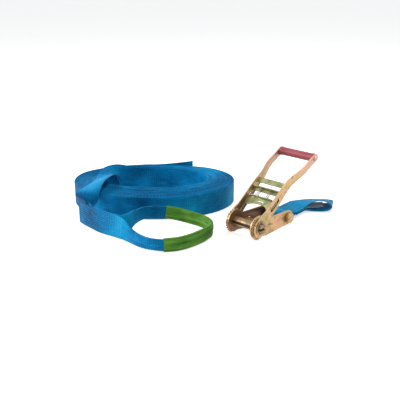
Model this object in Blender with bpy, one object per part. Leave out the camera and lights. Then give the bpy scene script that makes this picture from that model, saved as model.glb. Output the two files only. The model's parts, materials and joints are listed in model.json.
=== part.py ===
"""A slackline set: a coiled main line with a sewn and sleeved eye, and a long ratchet with its short strap.

Metres, +Z up. The ratchet's base points along +Y and its shafts lie along X.
The origin is on the floor, in the middle of the flat underside of the ratchet's base plate.
"""

import math

import bmesh
import bpy
import numpy as np
from mathutils import Matrix, Vector

# Clearances
fit_gap = 0.0003
ply_gap = 0.0006
turning_gap = 0.0005
overrun = 0.004

# Webbing
webbing_width = 0.050
webbing_thickness = 0.0018
webbing_side_room = 0.0020

# Main line, coiled on its edge: half sizes of the oval and the band's depth on three sides
coil_outer_half_length = 0.182
coil_outer_half_depth = 0.1157
coil_band_side = 0.058
coil_band_near = 0.066
coil_band_far = 0.0285
coil_turns = 12
coil_points_per_turn = 24
coil_inner_end_angle = math.radians(100)
coil_outer_end_angle = math.radians(92)
tail_length = 0.092
tail_spread = 0.028
tail_steps = 6

# Where the main line lies, seen from the middle of the photographed floor
line_turn = math.radians(41)
line_place = (-0.1989, 0.0358, 0.0)
coil_centre_x = -0.109
coil_outer_centre_y = -0.0024

# Course of the free line, from the coil's middle: shares of the coil's half length and half depth
# and of the webbing's width. The lead's last column is its lean in degrees.
lead_shares = (
    (-0.1703, 0.7347, 0.5020, 0),
    (-0.2308, 0.7087, 0.5150, 0),
    (-0.3022, 0.6724, 0.5920, 1),
    (-0.3725, 0.6275, 0.6800, 5),
    (-0.4374, 0.5739, 0.7760, 12),
    (-0.4863, 0.5091, 0.8740, 22),
    (-0.5247, 0.4226, 0.9720, 36),
    (-0.5522, 0.3232, 1.0600, 52),
    (-0.5714, 0.2152, 1.1200, 66),
    (-0.5879, 0.0985, 1.1480, 77),
    (-0.6044, -0.0225, 1.1520, 84),
    (-0.6236, -0.1435, 1.1480, 87),
    (-0.6456, -0.2602, 1.1440, 89),
    (-0.6703, -0.3768, 1.1400, 89),
    (-0.6951, -0.4978, 1.1360, 88),
    (-0.7165, -0.6188, 1.1340, 87),
    (-0.7352, -0.7295, 1.1240, 84),
    (-0.7505, -0.8263, 1.0740, 74),
    (-0.7604, -0.9110, 0.9660, 56),
    (-0.7626, -0.9862, 0.8360, 34),
    (-0.7527, -1.0579, 0.7040, 13),
    (-0.7363, -1.1271, 0.5920, 3),
    (-0.7132, -1.1979, 0.5300, 0),
    (-0.6813, -1.2774, 0.5100, 0),
    (-0.6484, -1.4097, 0.5040, 0),
    (-0.5687, -1.5454, 0.5040, 0),
    (-0.4698, -1.6603, 0.5040, 0),
    (-0.3709, -1.7615, 0.5040, 0),
    (-0.2747, -1.8617, 0.5040, 0),
)
seam_tip_shares = (
    (-0.8308, -1.1072, 0.5040),
    (-0.7835, -1.2100, 0.5040),
    (-0.7242, -1.3163, 0.5040),
)
eye_shares = (
    (-0.2648, -1.8920, 0.2520),
    (-0.2143, -1.9758, 0.2540),
    (-0.1538, -2.0795, 0.2600),
    (-0.0676, -2.2092, 0.2680),
    (0.0440, -2.3172, 0.2760),
    (0.1868, -2.3734, 0.2800),
    (0.3275, -2.3241, 0.2800),
    (0.4423, -2.2187, 0.2800),
    (0.5615, -2.0493, 0.2820),
    (0.6593, -1.8505, 0.2880),
    (0.6934, -1.6603, 0.3000),
    (0.6566, -1.5048, 0.3240),
    (0.5610, -1.3933, 0.3800),
    (0.4330, -1.3163, 0.4500),
    (0.3066, -1.2723, 0.5300),
    (0.1791, -1.2662, 0.6100),
    (0.0544, -1.3172, 0.6800),
    (-0.0632, -1.4313, 0.7260),
    (-0.1549, -1.6041, 0.7520),
    (-0.2143, -1.7424, 0.7560),
    (-0.2560, -1.8375, 0.7580),
)

# Eye of the main line
eye_width = 0.0245
eye_plies_thickness = 0.0046
eye_corner = 0.0024
sleeve_wall = 0.0012
sleeve_room = 0.0006
sewn_stretches = 4
sleeve_first = 10
sleeve_last = 30

# Ratchet base
cheek_thickness = 0.0025
cheek_head_radius = 0.0235
cheek_neck_height = 0.0110
spindle_height = 0.027
base_length = 0.109
bolt_end_radius = 0.015
foot_start = 0.030
plate_start = 0.038
plate_end = 0.082
plate_thickness = 0.0025
plate_lip_height = 0.0065

# Spindle and ratchet wheels
spindle_radius = 0.0095
spindle_slit = 0.0052
spindle_end_room = 0.0055
wheel_thickness = 0.0030
wheel_tip_radius = 0.0255
wheel_root_radius = 0.0220
wheel_teeth = 24
tooth_gap_room = 0.00035
washer_radius = 0.015
washer_thickness = 0.0015
split_pin_radius = 0.0009
split_pin_length = 0.026

# Sliding locks
lock_thickness = 0.0020
base_lock_angle = math.radians(-9)
base_lock_front = 0.034
base_lock_back = 0.046
base_lock_travel = 0.0060
release_front = 0.044
release_back = 0.066
release_travel = 0.0070
release_lip_height = 0.0070
release_ear_front = 0.048
release_window_half = 0.022
release_window_depth = 0.0065
release_finger_half = 0.009
release_finger_front = 0.0545
release_finger_back = 0.0590
release_finger_bow = 0.0020

# Handle
handle_rest_angle = math.radians(36)
arm_thickness = 0.0025
arm_head_radius = 0.0200
arm_shoulder = 0.034
arm_lower_half_width = 0.0130
arm_middle_half_width = 0.0105
arm_upper_half_width = 0.0085
arm_end_radius = 0.0098
arm_bend_start = 0.100
arm_flare_start = 0.116
arm_flare_end = 0.168
arm_flare = 0.0085
grip_reach = 0.2057
grip_drop = 0.0197
grip_radius = 0.0095
grip_bolt_radius = 0.0033
grip_bolt_head_radius = 0.0062
grip_bolt_head_thickness = 0.0030
grip_edge = 0.0010
lower_bar_reach = 0.084
bar_spacing = 0.024
lower_bar_depth = 0.0085
lower_bar_height = 0.0090
lower_bar_wall = 0.0022
upper_bar_depth = 0.0120
upper_bar_thickness = 0.0030
tenon_depth = 0.0070

# Strap bolt at the rear of the base
strap_bolt_radius = 0.0060
strap_bolt_head_radius = 0.0110
strap_bolt_head_length = 0.0075
strap_bolt_nut_radius = 0.0095
strap_bolt_nut_length = 0.0065
spacer_radius = 0.0080

# Springs of the two locks
spring_radius = 0.0032
spring_wire = 0.00045
spring_curls = 6
spring_points_per_curl = 8
spring_offset = 0.012

# Short strap: its seam, along the base direction from the strap bolt
seam_start = 0.035
seam_end = 0.070
seam_height = 0.0070

# Where the plies close from the spacer to the seam: shares of the seam's start and of the rise left
strap_close_shares = ((0.50, 0.64), (0.85, 0.22), (1.15, 0.03))
strap_wrap_extra = math.radians(14)
seam_front_share = 1.5

# Eye of the short strap, from the seam's end: shares of its length to the side and along, shares of
# its height over the floor, then its turn to the right and its roll in degrees
strap_eye_length = 0.080
strap_eye_height = 0.020
strap_eye_shares = (
    (0.000, 0.075, 0.600, 2, 1),
    (0.025, 0.175, 0.690, 9, 5),
    (0.100, 0.344, 0.790, 22, 11),
    (0.213, 0.494, 0.890, 36, 15),
    (0.356, 0.619, 0.960, 48, 17),
    (0.519, 0.719, 0.960, 57, 15),
    (0.656, 0.788, 0.800, 62, 10),
    (0.706, 0.813, 0.525, 63, 5),
    (0.650, 0.781, 0.290, 62, 2),
    (0.513, 0.706, 0.150, 57, 0),
    (0.356, 0.613, 0.100, 48, 0),
    (0.213, 0.488, 0.110, 36, 0),
    (0.100, 0.344, 0.180, 22, 0),
    (0.025, 0.175, 0.280, 8, 0),
    (0.000, 0.075, 0.335, 2, 0),
)
label_width = 0.040
label_thickness = 0.0008
label_shares = (
    (0.013, 0.100, 0.440, 5, 2),
    (0.075, 0.294, 0.400, 18, 3),
    (0.188, 0.463, 0.370, 33, 4),
    (0.338, 0.600, 0.400, 46, 5),
    (0.481, 0.698, 0.490, 55, 6),
)

# Derived places along the handle
upper_bar_reach = lower_bar_reach + bar_spacing

# Derived places along the shafts, from the middle outwards
cheek_inner = webbing_width / 2 + webbing_side_room
cheek_outer = cheek_inner + cheek_thickness
wheel_inner = cheek_outer + turning_gap
wheel_outer = wheel_inner + wheel_thickness
arm_inner = wheel_outer + turning_gap
arm_outer = arm_inner + arm_thickness
washer_inner = arm_outer + fit_gap
washer_outer = washer_inner + washer_thickness
spindle_end = washer_outer + spindle_end_room
lock_outer = arm_inner - fit_gap
lock_inner = cheek_outer + fit_gap
tooth_reach = wheel_root_radius + tooth_gap_room
bolt_height = bolt_end_radius
spindle_y = -(plate_start + plate_end) / 2
spindle_hole_radius = spindle_radius + turning_gap


def rgb(red, green, blue):
    return (red, green, blue, 1.0)


webbing_blue = rgb(0.010, 0.235, 0.560)
sleeve_green = rgb(0.130, 0.340, 0.040)
zinc_gold = rgb(0.640, 0.430, 0.200)
zinc_green = rgb(0.420, 0.440, 0.210)
grip_red = rgb(0.330, 0.045, 0.060)
spring_steel = rgb(0.450, 0.450, 0.460)
label_white = rgb(0.780, 0.780, 0.760)


def clear_scene():
    for old in list(bpy.data.objects):
        bpy.data.objects.remove(old)


def material(name, colour, roughness, metallic):
    made = bpy.data.materials.new(name)
    made.use_nodes = True
    shader = made.node_tree.nodes["Principled BSDF"]
    shader.inputs["Base Color"].default_value = colour
    shader.inputs["Roughness"].default_value = roughness
    shader.inputs["Metallic"].default_value = metallic
    return made


def empty(name, location, turn=(0.0, 0.0, 0.0), parent=None):
    made = bpy.data.objects.new(name, None)
    bpy.context.scene.collection.objects.link(made)
    made.location = location
    made.rotation_euler = turn
    made.parent = parent
    return made


def piece(name, shape, finish, parent, smooth=False):
    """Makes an object of a bmesh, with its faces pointing out."""
    bmesh.ops.recalc_face_normals(shape, faces=shape.faces)
    mesh = bpy.data.meshes.new(name)
    shape.to_mesh(mesh)
    shape.free()
    if smooth:
        mesh.shade_smooth()
        mesh.set_sharp_from_angle(angle=math.radians(40))
    if finish:
        mesh.materials.append(finish)
    made = bpy.data.objects.new(name, mesh)
    bpy.context.scene.collection.objects.link(made)
    made.parent = parent
    return made


def cut(target, cutter, operation="DIFFERENCE"):
    """Cuts a guide solid out of a piece, or joins it on."""
    cutter.hide_render = True
    cutter.display_type = "WIRE"
    step = target.modifiers.new(cutter.name, "BOOLEAN")
    step.operation = operation
    step.solver = "EXACT"
    step.object = cutter


def arc(centre, radius, start, end, steps):
    """Points of an arc in the plane of an outline, both ends included."""
    angles = [start + (end - start) * i / steps for i in range(steps + 1)]
    return [(centre[0] + radius * math.cos(a), centre[1] + radius * math.sin(a)) for a in angles]


def side_prism(outline, low, high):
    """An outline in the side view (Y, Z), extruded along X."""
    shape = bmesh.new()
    corners = [shape.verts.new((low, y, z)) for y, z in outline]
    face = shape.faces.new(corners)
    grown = bmesh.ops.extrude_face_region(shape, geom=[face])
    moved = [v for v in grown["geom"] if isinstance(v, bmesh.types.BMVert)]
    bmesh.ops.translate(shape, verts=moved, vec=(high - low, 0, 0))
    return shape


def plan_prism(outline, low, high):
    """An outline in the plan view (X, Y), extruded along Z."""
    shape = bmesh.new()
    corners = [shape.verts.new((x, y, low)) for x, y in outline]
    face = shape.faces.new(corners)
    grown = bmesh.ops.extrude_face_region(shape, geom=[face])
    moved = [v for v in grown["geom"] if isinstance(v, bmesh.types.BMVert)]
    bmesh.ops.translate(shape, verts=moved, vec=(0, 0, high - low))
    return shape


def block(low, high):
    outline = [(low[0], low[1]), (high[0], low[1]), (high[0], high[1]), (low[0], high[1])]
    return plan_prism(outline, low[2], high[2])


def turned(profile, steps=32, closed=False, phase=0.0):
    """A profile of (X, radius) pairs turned about the X axis. A closed profile leaves a bore."""
    shape = bmesh.new()
    rings = []
    for i in range(steps):
        angle = phase + 2 * math.pi * i / steps
        rings.append(
            [shape.verts.new((x, r * math.cos(angle), r * math.sin(angle))) for x, r in profile]
        )
    spans = len(profile) if closed else len(profile) - 1
    for i in range(steps):
        here, there = rings[i], rings[(i + 1) % steps]
        for k in range(spans):
            after = (k + 1) % len(profile)
            shape.faces.new((here[k], here[after], there[after], there[k]))
    if not closed:
        bmesh.ops.remove_doubles(shape, verts=shape.verts, dist=fit_gap / 100)
    return shape


def rod(low, high, radius, steps=32):
    return turned([(low, 0), (low, radius), (high, radius), (high, 0)], steps, phase=math.pi / steps)


def hex_nut(name, low, high, radius, bore, finish, place):
    nut = piece(name, rod(low, high, radius, 6), finish, place)
    cut(nut, piece(f"{name}_bore", rod(low - overrun, high + overrun, bore, 24), None, place))


def curve_through(points, steps):
    """Points on a smooth curve through the given ones, steps to each stretch."""
    path = [np.array(p, float) for p in points]
    path = [2 * path[0] - path[1], *path, 2 * path[-1] - path[-2]]
    out = []
    for i in range(1, len(path) - 2):
        a, b, c, d = path[i - 1 : i + 3]
        for k in range(steps):
            t = k / steps
            out.append(
                0.5
                * (2 * b + (c - a) * t + (2 * a - 5 * b + 4 * c - d) * t**2 + (3 * b - a - 3 * c + d) * t**3)
            )
    out.append(path[-2])
    return out


def directions(path):
    """Unit direction of a path at each of its points."""
    ahead = [path[min(i + 1, len(path) - 1)] - path[max(i - 1, 0)] for i in range(len(path))]
    return [Vector(a).normalized() for a in ahead]


def mitre(path, i):
    """How much wider a layer is across the corner at point i than across its straight stretches."""
    if i in (0, len(path) - 1):
        return 1.0
    before = Vector(path[i] - path[i - 1]).normalized()
    after = Vector(path[i + 1] - path[i]).normalized()
    turn = before.angle(after, 0.0)
    return 1.0 / math.cos(min(turn, 1.2) / 2)


def section_rings(path, across, section):
    """Rings of points round a path. A section point is a place along the width and one along the normal."""
    rings = []
    for i, (point, along, width_way) in enumerate(zip(path, directions(path), across)):
        wide = Vector(width_way)
        wide = (wide - wide.dot(along) * along).normalized()
        normal = along.cross(wide)
        stretch = mitre(path, i)
        rings.append([Vector(point) + wide * w + normal * n * stretch for w, n in section])
    return rings


def skin(shape, rings):
    """Side faces between successive rings of vertices."""
    for here, there in zip(rings, rings[1:]):
        count = len(here)
        for k in range(count):
            after = (k + 1) % count
            shape.faces.new((here[k], here[after], there[after], there[k]))


def ribbon(path, across, width, thickness, corner=0.0, split=False):
    """A strip of webbing along a path, as a closed solid. Split, a twisted strip has only triangles."""
    shape = bmesh.new()
    rings = section_rings(path, across, flat_section(width, thickness, corner))
    verts = [[shape.verts.new(p) for p in ring] for ring in rings]
    skin(shape, verts)
    shape.faces.new(list(reversed(verts[0])))
    shape.faces.new(verts[-1])
    if split:
        bmesh.ops.triangulate(shape, faces=shape.faces)
    return shape


def flat_section(width, thickness, corner=0.0):
    """A strip's section, with its corners cut where a corner size is given."""
    w, t = width / 2, thickness / 2
    if not corner:
        return [(-w, -t), (w, -t), (w, t), (-w, t)]
    c = corner
    right = [(w - c, -t), (w, -t + c * 0.5), (w, t - c * 0.5), (w - c, t)]
    left = [(-w + c, t), (-w, t - c * 0.5), (-w, -t + c * 0.5), (-w + c, -t)]
    return right + left


def flat_tube(path, across, width, thickness, wall, corner):
    """A flat tube open at both ends, such as a fabric sleeve."""
    shape = bmesh.new()
    inner = section_rings(path, across, flat_section(width, thickness, corner))
    outer = section_rings(path, across, flat_section(width + 2 * wall, thickness + 2 * wall, corner))
    inside = [[shape.verts.new(p) for p in ring] for ring in inner]
    outside = [[shape.verts.new(p) for p in ring] for ring in outer]
    skin(shape, inside)
    skin(shape, outside)
    for near, far in ((inside[0], outside[0]), (inside[-1], outside[-1])):
        count = len(near)
        for k in range(count):
            after = (k + 1) % count
            shape.faces.new((near[k], near[after], far[after], far[k]))
    return shape


def coil_point(turned_by):
    """A place on the wound strip, by the angle wound since its inner end, seen from above.

    Every turn runs parallel to the oval the strip was wound on.
    """
    share = turned_by / (2 * math.pi * coil_turns)
    half_length = coil_outer_half_length - coil_band_side
    band_mean = (coil_band_near + coil_band_far) / 2
    half_depth = coil_outer_half_depth - band_mean
    centre_y = coil_outer_centre_y + (coil_band_near - coil_band_far) / 2
    angle = coil_inner_end_angle - turned_by
    cosine, sine = math.cos(angle), math.sin(angle)
    long_root, short_root = math.sqrt(half_length), math.sqrt(half_depth)
    on_oval = np.array((long_root * cosine, short_root * sine))
    on_oval = on_oval / np.linalg.norm(on_oval) * (half_length, half_depth)
    normal = np.array((short_root * cosine, long_root * sine))
    normal = normal / np.linalg.norm(normal)
    band = coil_band_side * cosine**2 + band_mean * sine**2
    band = band - (coil_band_near - coil_band_far) / 2 * sine
    x, y = on_oval + normal * band * share
    return np.array((coil_centre_x + x, centre_y + y, webbing_width / 2))


def coil_path():
    """The wound turns, from the inner end outwards, and the tail that leaves them at the back."""
    last = coil_turns * 2 * math.pi + coil_inner_end_angle - coil_outer_end_angle
    step = 2 * math.pi / coil_points_per_turn
    count = round(last / step)
    wound = [coil_point(last * i / count) for i in range(count + 1)]
    start = wound[-1]
    tail = [
        start + np.array((tail_length * i / tail_steps, tail_spread * (i / tail_steps) ** 1.5, 0))
        for i in range(1, tail_steps + 1)
    ]
    return wound, tail


def least_gap(path, thickness):
    """The least gap of a wound strip to itself, on its points and the middles of its stretches."""
    flat = np.array(path)[:, :2]
    middles = (flat[:-1] + flat[1:]) / 2
    starts, runs = flat[:-1], flat[1:] - flat[:-1]
    least = math.inf
    for where, place in [*enumerate(flat), *((i + 0.5, m) for i, m in enumerate(middles))]:
        apart = np.abs(np.arange(len(starts)) + 0.5 - where) > coil_points_per_turn / 2
        share = ((place - starts) * runs).sum(1) / (runs * runs).sum(1)
        nearest = starts + np.clip(share, 0, 1)[:, None] * runs
        away = np.linalg.norm(nearest - place, axis=1)[apart]
        least = min(least, away.min())
    return least - thickness


def free_route(shares):
    """Places of the free line from its shares, with any further columns kept."""
    scale = (coil_outer_half_length, coil_outer_half_depth, webbing_width)
    middle = (coil_centre_x, coil_outer_centre_y, 0.0)
    rows = []
    for row in shares:
        place = [m + share * size for m, share, size in zip(middle, row, scale)]
        rows.append((*place, *row[3:]))
    return rows


def lean_of(along, degrees):
    """The way across a strip that leans to the right of its travel."""
    right = Vector((along.y, -along.x, 0)).normalized()
    lean = math.radians(degrees)
    return Vector((0, 0, math.cos(lean))) + right * math.sin(lean)


def main_line(place, blue, green):
    wound, tail = coil_path()
    strip = wound + tail
    upright = Vector((0, 0, 1))
    gap = least_gap(strip, webbing_thickness)
    print(f"least gap of the coil to itself: {gap * 1000:.3f} mm")
    length = sum(np.linalg.norm(b - a) for a, b in zip(strip, strip[1:]))
    print(f"length of the coiled strip: {length:.3f} m")
    shape = ribbon(strip, [upright] * len(strip), webbing_width, webbing_thickness)
    piece("main_line_coil", shape, blue, place)

    lead = curve_through(free_route(lead_shares), 2)
    path = [p[:3] for p in lead]
    path[0] = path[0] + np.array(directions(path)[0]) * fit_gap
    across = [lean_of(d, p[3]) for d, p in zip(directions(path), lead)]
    shape = ribbon(path, across, webbing_width, webbing_thickness, split=True)
    piece("main_line_lead", shape, blue, place)

    seam = path[-2 * sewn_stretches - 1 :]
    near = [lean_of(d, 90) for d in directions(seam)]
    step_out = webbing_thickness + ply_gap
    cover = free_route(seam_tip_shares) + [p + np.array(n) * step_out for p, n in zip(seam, near)]
    cover = [np.array(p) for p in cover]
    shape = ribbon(cover, [upright] * len(cover), webbing_width, webbing_thickness)
    piece("eye_seam_end", shape, blue, place)

    route = curve_through(free_route(eye_shares), 2)
    shape = ribbon(route, [upright] * len(route), eye_width, eye_plies_thickness, eye_corner)
    piece("eye_loop", shape, blue, place)
    covered = route[sleeve_first : sleeve_last + 1]
    shape = flat_tube(
        covered,
        [upright] * len(covered),
        eye_width + sleeve_room,
        eye_plies_thickness + sleeve_room,
        sleeve_wall,
        eye_corner,
    )
    piece("eye_sleeve", shape, green, place, smooth=True)


def cheek_outline():
    """Side view of a base cheek about the spindle's axis: a round head, a flat foot and a round end."""
    floor = -spindle_height
    end_centre = (base_length, floor + bolt_end_radius)
    neck = math.asin(cheek_neck_height / cheek_head_radius)
    foot = [(foot_start, floor)]
    end = arc(end_centre, bolt_end_radius, -math.pi / 2, math.pi / 2, 12)
    head = arc((0, 0), cheek_head_radius, neck, math.radians(285), 22)
    return foot + end + head


def base_frame(place, gold):
    """Both cheeks and the plate that joins them, folded from one sheet."""
    frame = piece("base_frame", side_prism(cheek_outline(), -cheek_outer, cheek_outer), gold, place)
    floor = -spindle_height
    far = base_length + bolt_end_radius + overrun
    near = -cheek_head_radius - overrun
    top = cheek_head_radius + overrun
    lip = floor + plate_thickness + plate_lip_height
    inside = [
        (near, floor - overrun),
        (plate_start, floor - overrun),
        (plate_start, lip),
        (plate_start + plate_thickness, lip),
        (plate_start + plate_thickness, floor + plate_thickness),
        (plate_end, floor + plate_thickness),
        (plate_end, floor - overrun),
        (far, floor - overrun),
        (far, top),
        (near, top),
    ]
    cut(frame, piece("cheek_space", side_prism(inside, -cheek_inner, cheek_inner), None, place))
    reach = cheek_outer + overrun
    cut(frame, piece("spindle_hole", rod(-reach, reach, spindle_hole_radius), None, place))
    bolt_hole = piece("bolt_hole", rod(-reach, reach, strap_bolt_radius + fit_gap), None, place)
    bolt_hole.location = (0, base_length, bolt_height - spindle_height)
    cut(frame, bolt_hole)
    half = lock_thickness / 2 + fit_gap
    slot = block(
        (-reach, base_lock_front - fit_gap, -half),
        (reach, base_lock_back + base_lock_travel + fit_gap, half),
    )
    lock_slot = piece("base_lock_slot", slot, None, place)
    lock_slot.rotation_euler = (base_lock_angle, 0, 0)
    cut(frame, lock_slot)
    return frame


def wheel_outline():
    """Ratchet teeth, each with a steep face, a narrow land and a sloped back; a lock fits between two."""
    pitch = 2 * math.pi / wheel_teeth
    half_gap = (lock_thickness / 2 + tooth_gap_room) / wheel_root_radius
    points = []
    for tooth in range(wheel_teeth):
        start = tooth * pitch
        for share, radius in (
            (start - half_gap, wheel_root_radius),
            (start + half_gap, wheel_root_radius),
            (start + half_gap * 1.15, wheel_tip_radius),
            (start + half_gap * 1.15 + pitch / 6, wheel_tip_radius),
        ):
            points.append((radius * math.cos(share), radius * math.sin(share)))
    return points


def half_spindle_outline(radius, flat, side):
    """A half-round bar in the side view, its flat facing the slit."""
    swing = math.acos(flat / radius)
    middle = side * math.pi / 2
    return arc((0, 0), radius, middle - swing, middle + swing, 14)


def spindle(place, gold, dark):
    slit = spindle_slit / 2
    sides = (("upper", 1), ("lower", -1))
    for word, side in sides:
        outline = half_spindle_outline(spindle_radius, slit, side)
        shape = side_prism(outline, -spindle_end, spindle_end)
        half = piece(f"spindle_half_{word}", shape, dark, place)
        for hand in (-1, 1):
            reach = spindle_radius + overrun
            hole = rod(-reach, reach, split_pin_radius + fit_gap, 12)
            guide = piece(f"pin_hole_{word}_{hand}", hole, None, place)
            guide.location = (hand * (washer_outer + fit_gap + split_pin_radius + fit_gap), 0, 0)
            guide.rotation_euler = (0, math.pi / 2, 0)
            cut(half, guide)
    for word, hand in (("left", -1), ("right", 1)):
        low, high = sorted((hand * wheel_inner, hand * wheel_outer))
        wheel = piece(f"ratchet_wheel_{word}", side_prism(wheel_outline(), low, high), gold, place)
        wheel.rotation_euler = (base_lock_angle, 0, 0)
        for side_word, side in sides:
            outline = half_spindle_outline(spindle_radius + fit_gap, slit - fit_gap, side)
            guide = piece(
                f"wheel_bore_{word}_{side_word}",
                side_prism(outline, low - overrun, high + overrun),
                None,
                place,
            )
            cut(wheel, guide)
        low, high = sorted((hand * washer_inner, hand * washer_outer))
        bore = spindle_radius + fit_gap
        ring = [(low, bore), (low, washer_radius), (high, washer_radius), (high, bore)]
        piece(f"spindle_washer_{word}", turned(ring, closed=True), gold, place, smooth=True)
        half_length = split_pin_length / 2
        pin = rod(-half_length, half_length, split_pin_radius, 12)
        made = piece(f"split_pin_{word}", pin, dark, place, smooth=True)
        made.location = (hand * (washer_outer + fit_gap + split_pin_radius + fit_gap), 0, 0)
        made.rotation_euler = (0, math.pi / 2, 0)


def base_lock(place, gold):
    """The sliding plate in the base: two tongues that lock the wheels, joined across the cheeks' slots."""
    outline = [
        (-lock_outer, tooth_reach),
        (-lock_inner, tooth_reach),
        (-lock_inner, base_lock_front),
        (lock_inner, base_lock_front),
        (lock_inner, tooth_reach),
        (lock_outer, tooth_reach),
        (lock_outer, base_lock_back),
        (-lock_outer, base_lock_back),
    ]
    piece("base_lock", plan_prism(outline, -lock_thickness / 2, lock_thickness / 2), gold, place)


def spring(name, place, start, end, x, steel):
    """A compression spring along Y: straight ends for one wire width, and its curls between."""
    wire = 2 * spring_wire
    low, high = start + wire, end - wire
    count = spring_curls * spring_points_per_curl
    points = [(spring_radius, start, 0.0)]
    for i in range(count + 1):
        angle = 2 * math.pi * i / spring_points_per_curl
        along = low + (high - low) * i / count
        points.append((spring_radius * math.cos(angle), along, spring_radius * math.sin(angle)))
    points.append((spring_radius, end, 0.0))
    line = bpy.data.curves.new(name, "CURVE")
    line.dimensions = "3D"
    line.bevel_depth = spring_wire
    line.bevel_resolution = 1
    line.use_fill_caps = True
    route = line.splines.new("POLY")
    route.points.add(len(points) - 1)
    for knot, point in zip(route.points, points):
        knot.co = (*point, 1.0)
    line.materials.append(steel)
    made = bpy.data.objects.new(name, line)
    bpy.context.scene.collection.objects.link(made)
    made.parent = place
    made.location = (x, 0, 0)
    return made


def release_lock(place, green_zinc):
    """The sliding plate in the handle, with tongues, slot ears, a finger lip and a crescent hole."""
    window = arc((0, release_front), release_window_half, 0, math.pi, 10)
    squeeze = release_window_depth / release_window_half
    window = [(x, release_front + (y - release_front) * squeeze) for x, y in window]
    outline = [
        (lock_outer, tooth_reach),
        (lock_outer, release_ear_front),
        (arm_outer, release_ear_front),
        (arm_outer, release_back),
        (-arm_outer, release_back),
        (-arm_outer, release_ear_front),
        (-lock_outer, release_ear_front),
        (-lock_outer, tooth_reach),
        (-lock_inner, tooth_reach),
        (-lock_inner, release_front),
        *reversed(window),
        (lock_inner, release_front),
        (lock_inner, tooth_reach),
    ]
    half = lock_thickness / 2
    plate = piece("release_plate", plan_prism(outline, -half, half), green_zinc, place)
    lip_low = (-cheek_inner, release_back - lock_thickness, 0)
    lip_high = (cheek_inner, release_back, release_lip_height)
    cut(plate, piece("release_lip", block(lip_low, lip_high), None, place), "UNION")
    bow = release_finger_bow
    front, back, reach = release_finger_front, release_finger_back, release_finger_half
    rise = [(-reach, front), (-reach / 2, front + bow), (reach / 2, front + bow), (reach, front)]
    fall = [(reach, back - bow), (reach / 2, back), (-reach / 2, back), (-reach, back - bow)]
    hole = plan_prism(rise + fall, -lock_thickness, lock_thickness)
    cut(plate, piece("finger_hole", hole, None, place))


def arm_edges(along):
    """Middle height, half width and flare of a handle arm at a distance from the spindle."""
    if along <= arm_shoulder:
        share = max(along, 0) / arm_shoulder
        half = arm_head_radius + (arm_lower_half_width - arm_head_radius) * share**1.5
    elif along <= upper_bar_reach:
        share = (along - arm_shoulder) / (upper_bar_reach - arm_shoulder)
        half = arm_lower_half_width + (arm_middle_half_width - arm_lower_half_width) * share
    else:
        share = min(1, (along - upper_bar_reach) / (arm_flare_end - upper_bar_reach))
        half = arm_middle_half_width + (arm_upper_half_width - arm_middle_half_width) * share
    bend = max(0.0, (along - arm_bend_start) / (grip_reach - arm_bend_start))
    drop = -grip_drop * bend**1.25
    spread = min(1.0, max(0.0, (along - arm_flare_start) / (arm_flare_end - arm_flare_start)))
    flare = arm_flare * spread * spread * (3 - 2 * spread)
    return drop, half, flare


def arm_shape(hand):
    """A flat arm by sections from the spindle's end to the grip's end, bent down and flared out."""
    sections = []
    for i in range(9):
        angle = math.pi - math.radians(72) * (i / 8)
        sections.append((arm_head_radius * math.cos(angle), arm_head_radius * math.sin(angle)))
    sections = [(y, 0, half, 0) for y, half in sections if half > fit_gap]
    knots = np.linspace(0.0, grip_reach, 26)
    for along in knots:
        drop, half, flare = arm_edges(along)
        sections.append((along, drop, half, flare))
    for i in range(1, 7):
        angle = math.radians(85) * i / 6
        along = grip_reach + arm_end_radius * math.sin(angle)
        drop = -grip_drop * ((along - arm_bend_start) / (grip_reach - arm_bend_start)) ** 1.25
        sections.append((along, drop, arm_end_radius * math.cos(angle), arm_flare))
    shape = bmesh.new()
    rings = []
    for along, middle, half, flare in sections:
        inner = hand * (arm_inner + flare)
        outer = hand * (arm_outer + flare)
        corners = (
            (inner, along, middle - half),
            (inner, along, middle + half),
            (outer, along, middle + half),
            (outer, along, middle - half),
        )
        rings.append([shape.verts.new(c) for c in corners])
    skin(shape, rings)
    shape.faces.new(list(reversed(rings[0])))
    shape.faces.new(rings[-1])
    return shape


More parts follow.
